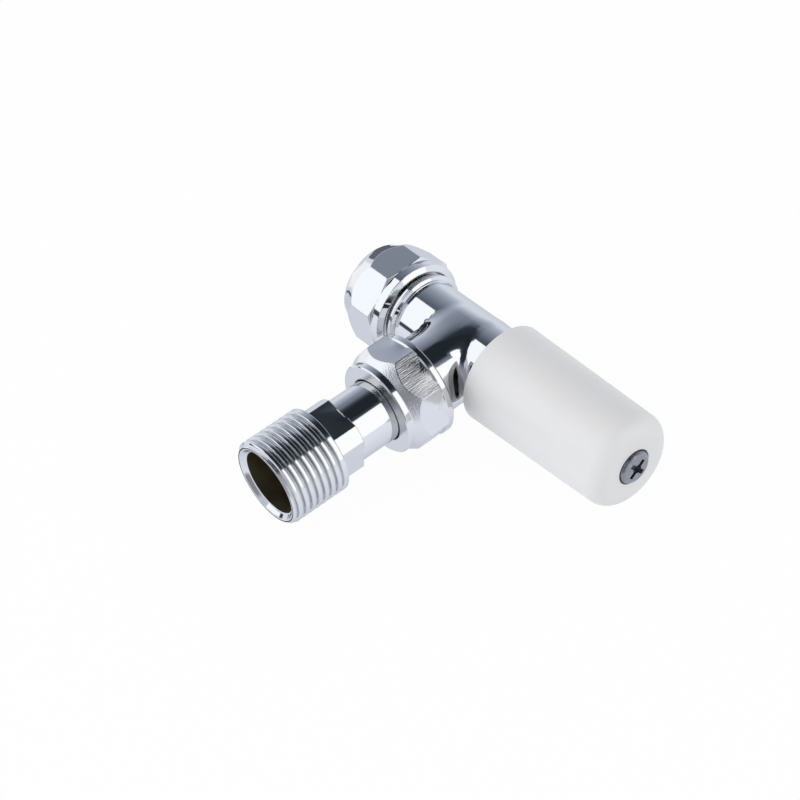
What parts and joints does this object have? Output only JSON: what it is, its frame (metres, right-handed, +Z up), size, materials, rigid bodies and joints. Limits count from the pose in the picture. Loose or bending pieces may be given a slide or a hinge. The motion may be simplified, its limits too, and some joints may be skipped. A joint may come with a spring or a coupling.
{
  "type": "manual radiator valve",
  "caption": "Angle radiator valve with a compression inlet for 15 mm pipe, a half-inch union tail, a rising spindle and a tapered plastic wheelhead.",
  "frame": {"origin": "centre of the inlet nut's open face, where the pipe goes in", "axes": "+Z up the pipe's and the spindle's centre line to the wheelhead, +X out along the union tail"},
  "size_m": [0.0711, 0.026, 0.0864],
  "materials": {
    "chromed_brass": "bright chromium plate on brass, polished",
    "brass": "turned, unplated",
    "white_plastic": "moulded, semi-gloss",
    "zinc_steel": "zinc plated",
    "seal_rubber": "moulded",
    "seal_fibre": "pressed fibre",
    "packing": "waxy"
  },
  "bodies": {
    "valve": {"valve_body": "chromed_brass", "headwork": "brass", "headwork_seal": "seal_fibre", "gland_packing": "packing", "gland_washer": "brass", "gland_nut": "brass"},
    "jumper": {"jumper": "brass", "jumper_washer": "seal_rubber", "jumper_nut": "brass"},
    "wheel": {"spindle": "brass", "wheelhead": "white_plastic", "wheelhead_screw": "zinc_steel"},
    "olive": {"olive": "brass"},
    "inlet_nut": {"inlet_nut": "chromed_brass"},
    "tail": {"union_tail": "chromed_brass", "retaining_ring": "brass", "tail_seal": "seal_rubber"},
    "union_nut": {"union_nut": "chromed_brass"}
  },
  "joints": [
    {"name": "jumper_lift", "type": "slide", "parent": "valve", "child": "jumper", "axis": [0, 0, 1], "range_m": [0, 0.0036]},
    {"name": "wheelhead_turn", "type": "hinge", "parent": "jumper", "child": "wheel", "pos_m": [0, 0, 0.032], "axis": [0, 0, 1], "range_deg": [0, 864]},
    {"name": "olive_slide", "type": "slide", "parent": "valve", "child": "olive", "axis": [0, 0, -1], "range_m": [0, 0.00726]},
    {"name": "inlet_nut_turn", "type": "hinge", "parent": "olive", "child": "inlet_nut", "pos_m": [0, 0, 0.007], "axis": [0, 0, -1], "range_deg": [0, 1440]},
    {"name": "tail_draw", "type": "slide", "parent": "valve", "child": "tail", "axis": [1, 0, 0], "range_m": [0, 0.00726]},
    {"name": "union_nut_turn", "type": "hinge", "parent": "tail", "child": "union_nut", "pos_m": [0.021, 0, 0.032], "axis": [1, 0, 0], "range_deg": [0, 1440]}
  ],
  "couplings": [
    {"joint": "wheelhead_turn", "follows": "jumper_lift", "rad_per_m": 4188.8},
    {"joint": "inlet_nut_turn", "follows": "olive_slide", "rad_per_m": 3463.7},
    {"joint": "union_nut_turn", "follows": "tail_draw", "rad_per_m": 3463.7}
  ]
}
